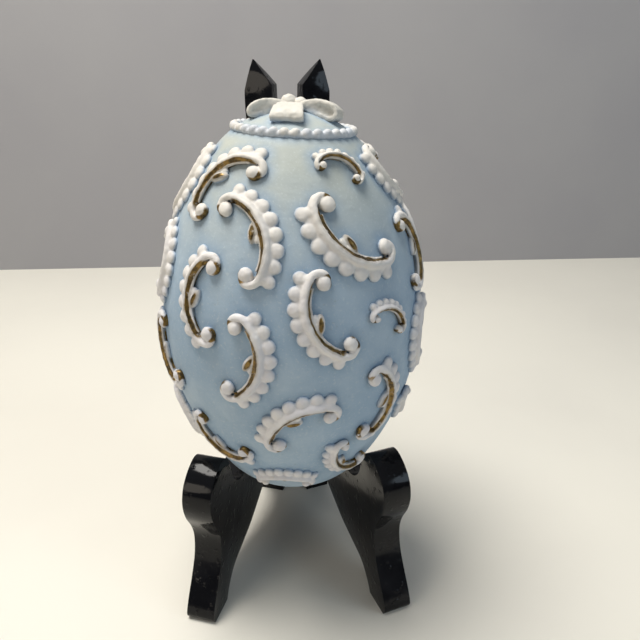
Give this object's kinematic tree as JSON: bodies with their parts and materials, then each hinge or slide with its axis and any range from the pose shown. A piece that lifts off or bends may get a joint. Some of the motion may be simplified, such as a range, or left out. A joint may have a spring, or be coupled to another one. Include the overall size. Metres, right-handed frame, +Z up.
{
  "type": "decorated egg on folding easel",
  "caption": "Pale blue moulded egg with raised white and gilt C-scrolls, a string of beads and a ribbon bow, held upright in a black folding two-board display easel.",
  "frame": {"origin": "on the table, under the middle of the whole object", "axes": "+Z up, the viewer stands at -Y, +X to the viewer's right; the easel's hinge is at +Y"},
  "size_m": [0.0741, 0.0841, 0.152],
  "materials": {
    "blue_glaze": "matte powder blue, unglazed look",
    "white_relief": "matte off-white relief",
    "gilded_white": "matte off-white relief with painted gilt lines",
    "black_lacquer": "high-gloss black lacquer",
    "brass": "bright brass plate"
  },
  "bodies": {
    "left_side": {"left_board": "black_lacquer", "lower_hinge_left_leaf": "brass", "upper_hinge_left_leaf": "brass", "lower_hinge_pin": "brass", "upper_hinge_pin": "brass", "left_screws": "brass"},
    "right_side": {"right_board": "black_lacquer", "lower_hinge_right_leaf": "brass", "upper_hinge_right_leaf": "brass", "right_screws": "brass"},
    "egg": {"egg_shell": "blue_glaze", "bead_ring": "white_relief", "bow_knot": "white_relief", "bow_loop_front": "white_relief", "bow_loop_left": "white_relief", "bow_loop_right": "white_relief", "bow_loop_back": "white_relief", "shoulder_scroll_1": "gilded_white", "shoulder_scroll_2": "gilded_white", "shoulder_scroll_3": "gilded_white", "shoulder_scroll_4": "gilded_white", "shoulder_scroll_5": "gilded_white", "shoulder_scroll_6": "gilded_white", "shoulder_scroll_7": "gilded_white", "shoulder_scroll_8": "gilded_white", "upper_scroll_1": "gilded_white", "upper_scroll_2": "gilded_white", "upper_scroll_3": "gilded_white", "upper_scroll_4": "gilded_white", "upper_scroll_5": "gilded_white", "upper_scroll_6": "gilded_white", "upper_scroll_7": "gilded_white", "upper_scroll_8": "gilded_white", "upper_scroll_9": "gilded_white", "upper_scroll_10": "gilded_white", "middle_scroll_1": "gilded_white", "middle_scroll_2": "gilded_white", "middle_scroll_3": "gilded_white", "middle_scroll_4": "gilded_white", "middle_scroll_5": "gilded_white", "middle_scroll_6": "gilded_white", "middle_scroll_7": "gilded_white", "middle_scroll_8": "gilded_white", "middle_scroll_9": "gilded_white", "middle_scroll_10": "gilded_white", "middle_scroll_11": "gilded_white", "middle_scroll_12": "gilded_white", "lower_scroll_1": "gilded_white", "lower_scroll_2": "gilded_white", "lower_scroll_3": "gilded_white", "lower_scroll_4": "gilded_white", "lower_scroll_5": "gilded_white", "lower_scroll_6": "gilded_white", "lower_scroll_7": "gilded_white", "lower_scroll_8": "gilded_white", "lower_scroll_9": "gilded_white", "lower_scroll_10": "gilded_white", "base_scroll_1": "gilded_white", "base_scroll_2": "gilded_white", "base_scroll_3": "gilded_white"}
  },
  "joints": [
    {"name": "egg_lift", "type": "slide", "parent": "left_side", "child": "egg", "axis": [0, -0.5, 0.866], "range_m": [0, 0.13]},
    {"name": "stand_fold", "type": "hinge", "parent": "left_side", "child": "right_side", "pos_m": [0, 0.0401, 0], "axis": [0, 0, -1], "range_deg": [0, 37.6]}
  ],
  "couplings": [
    {"joint": "stand_fold", "follows": "egg_lift", "rad_per_m": 5}
  ]
}
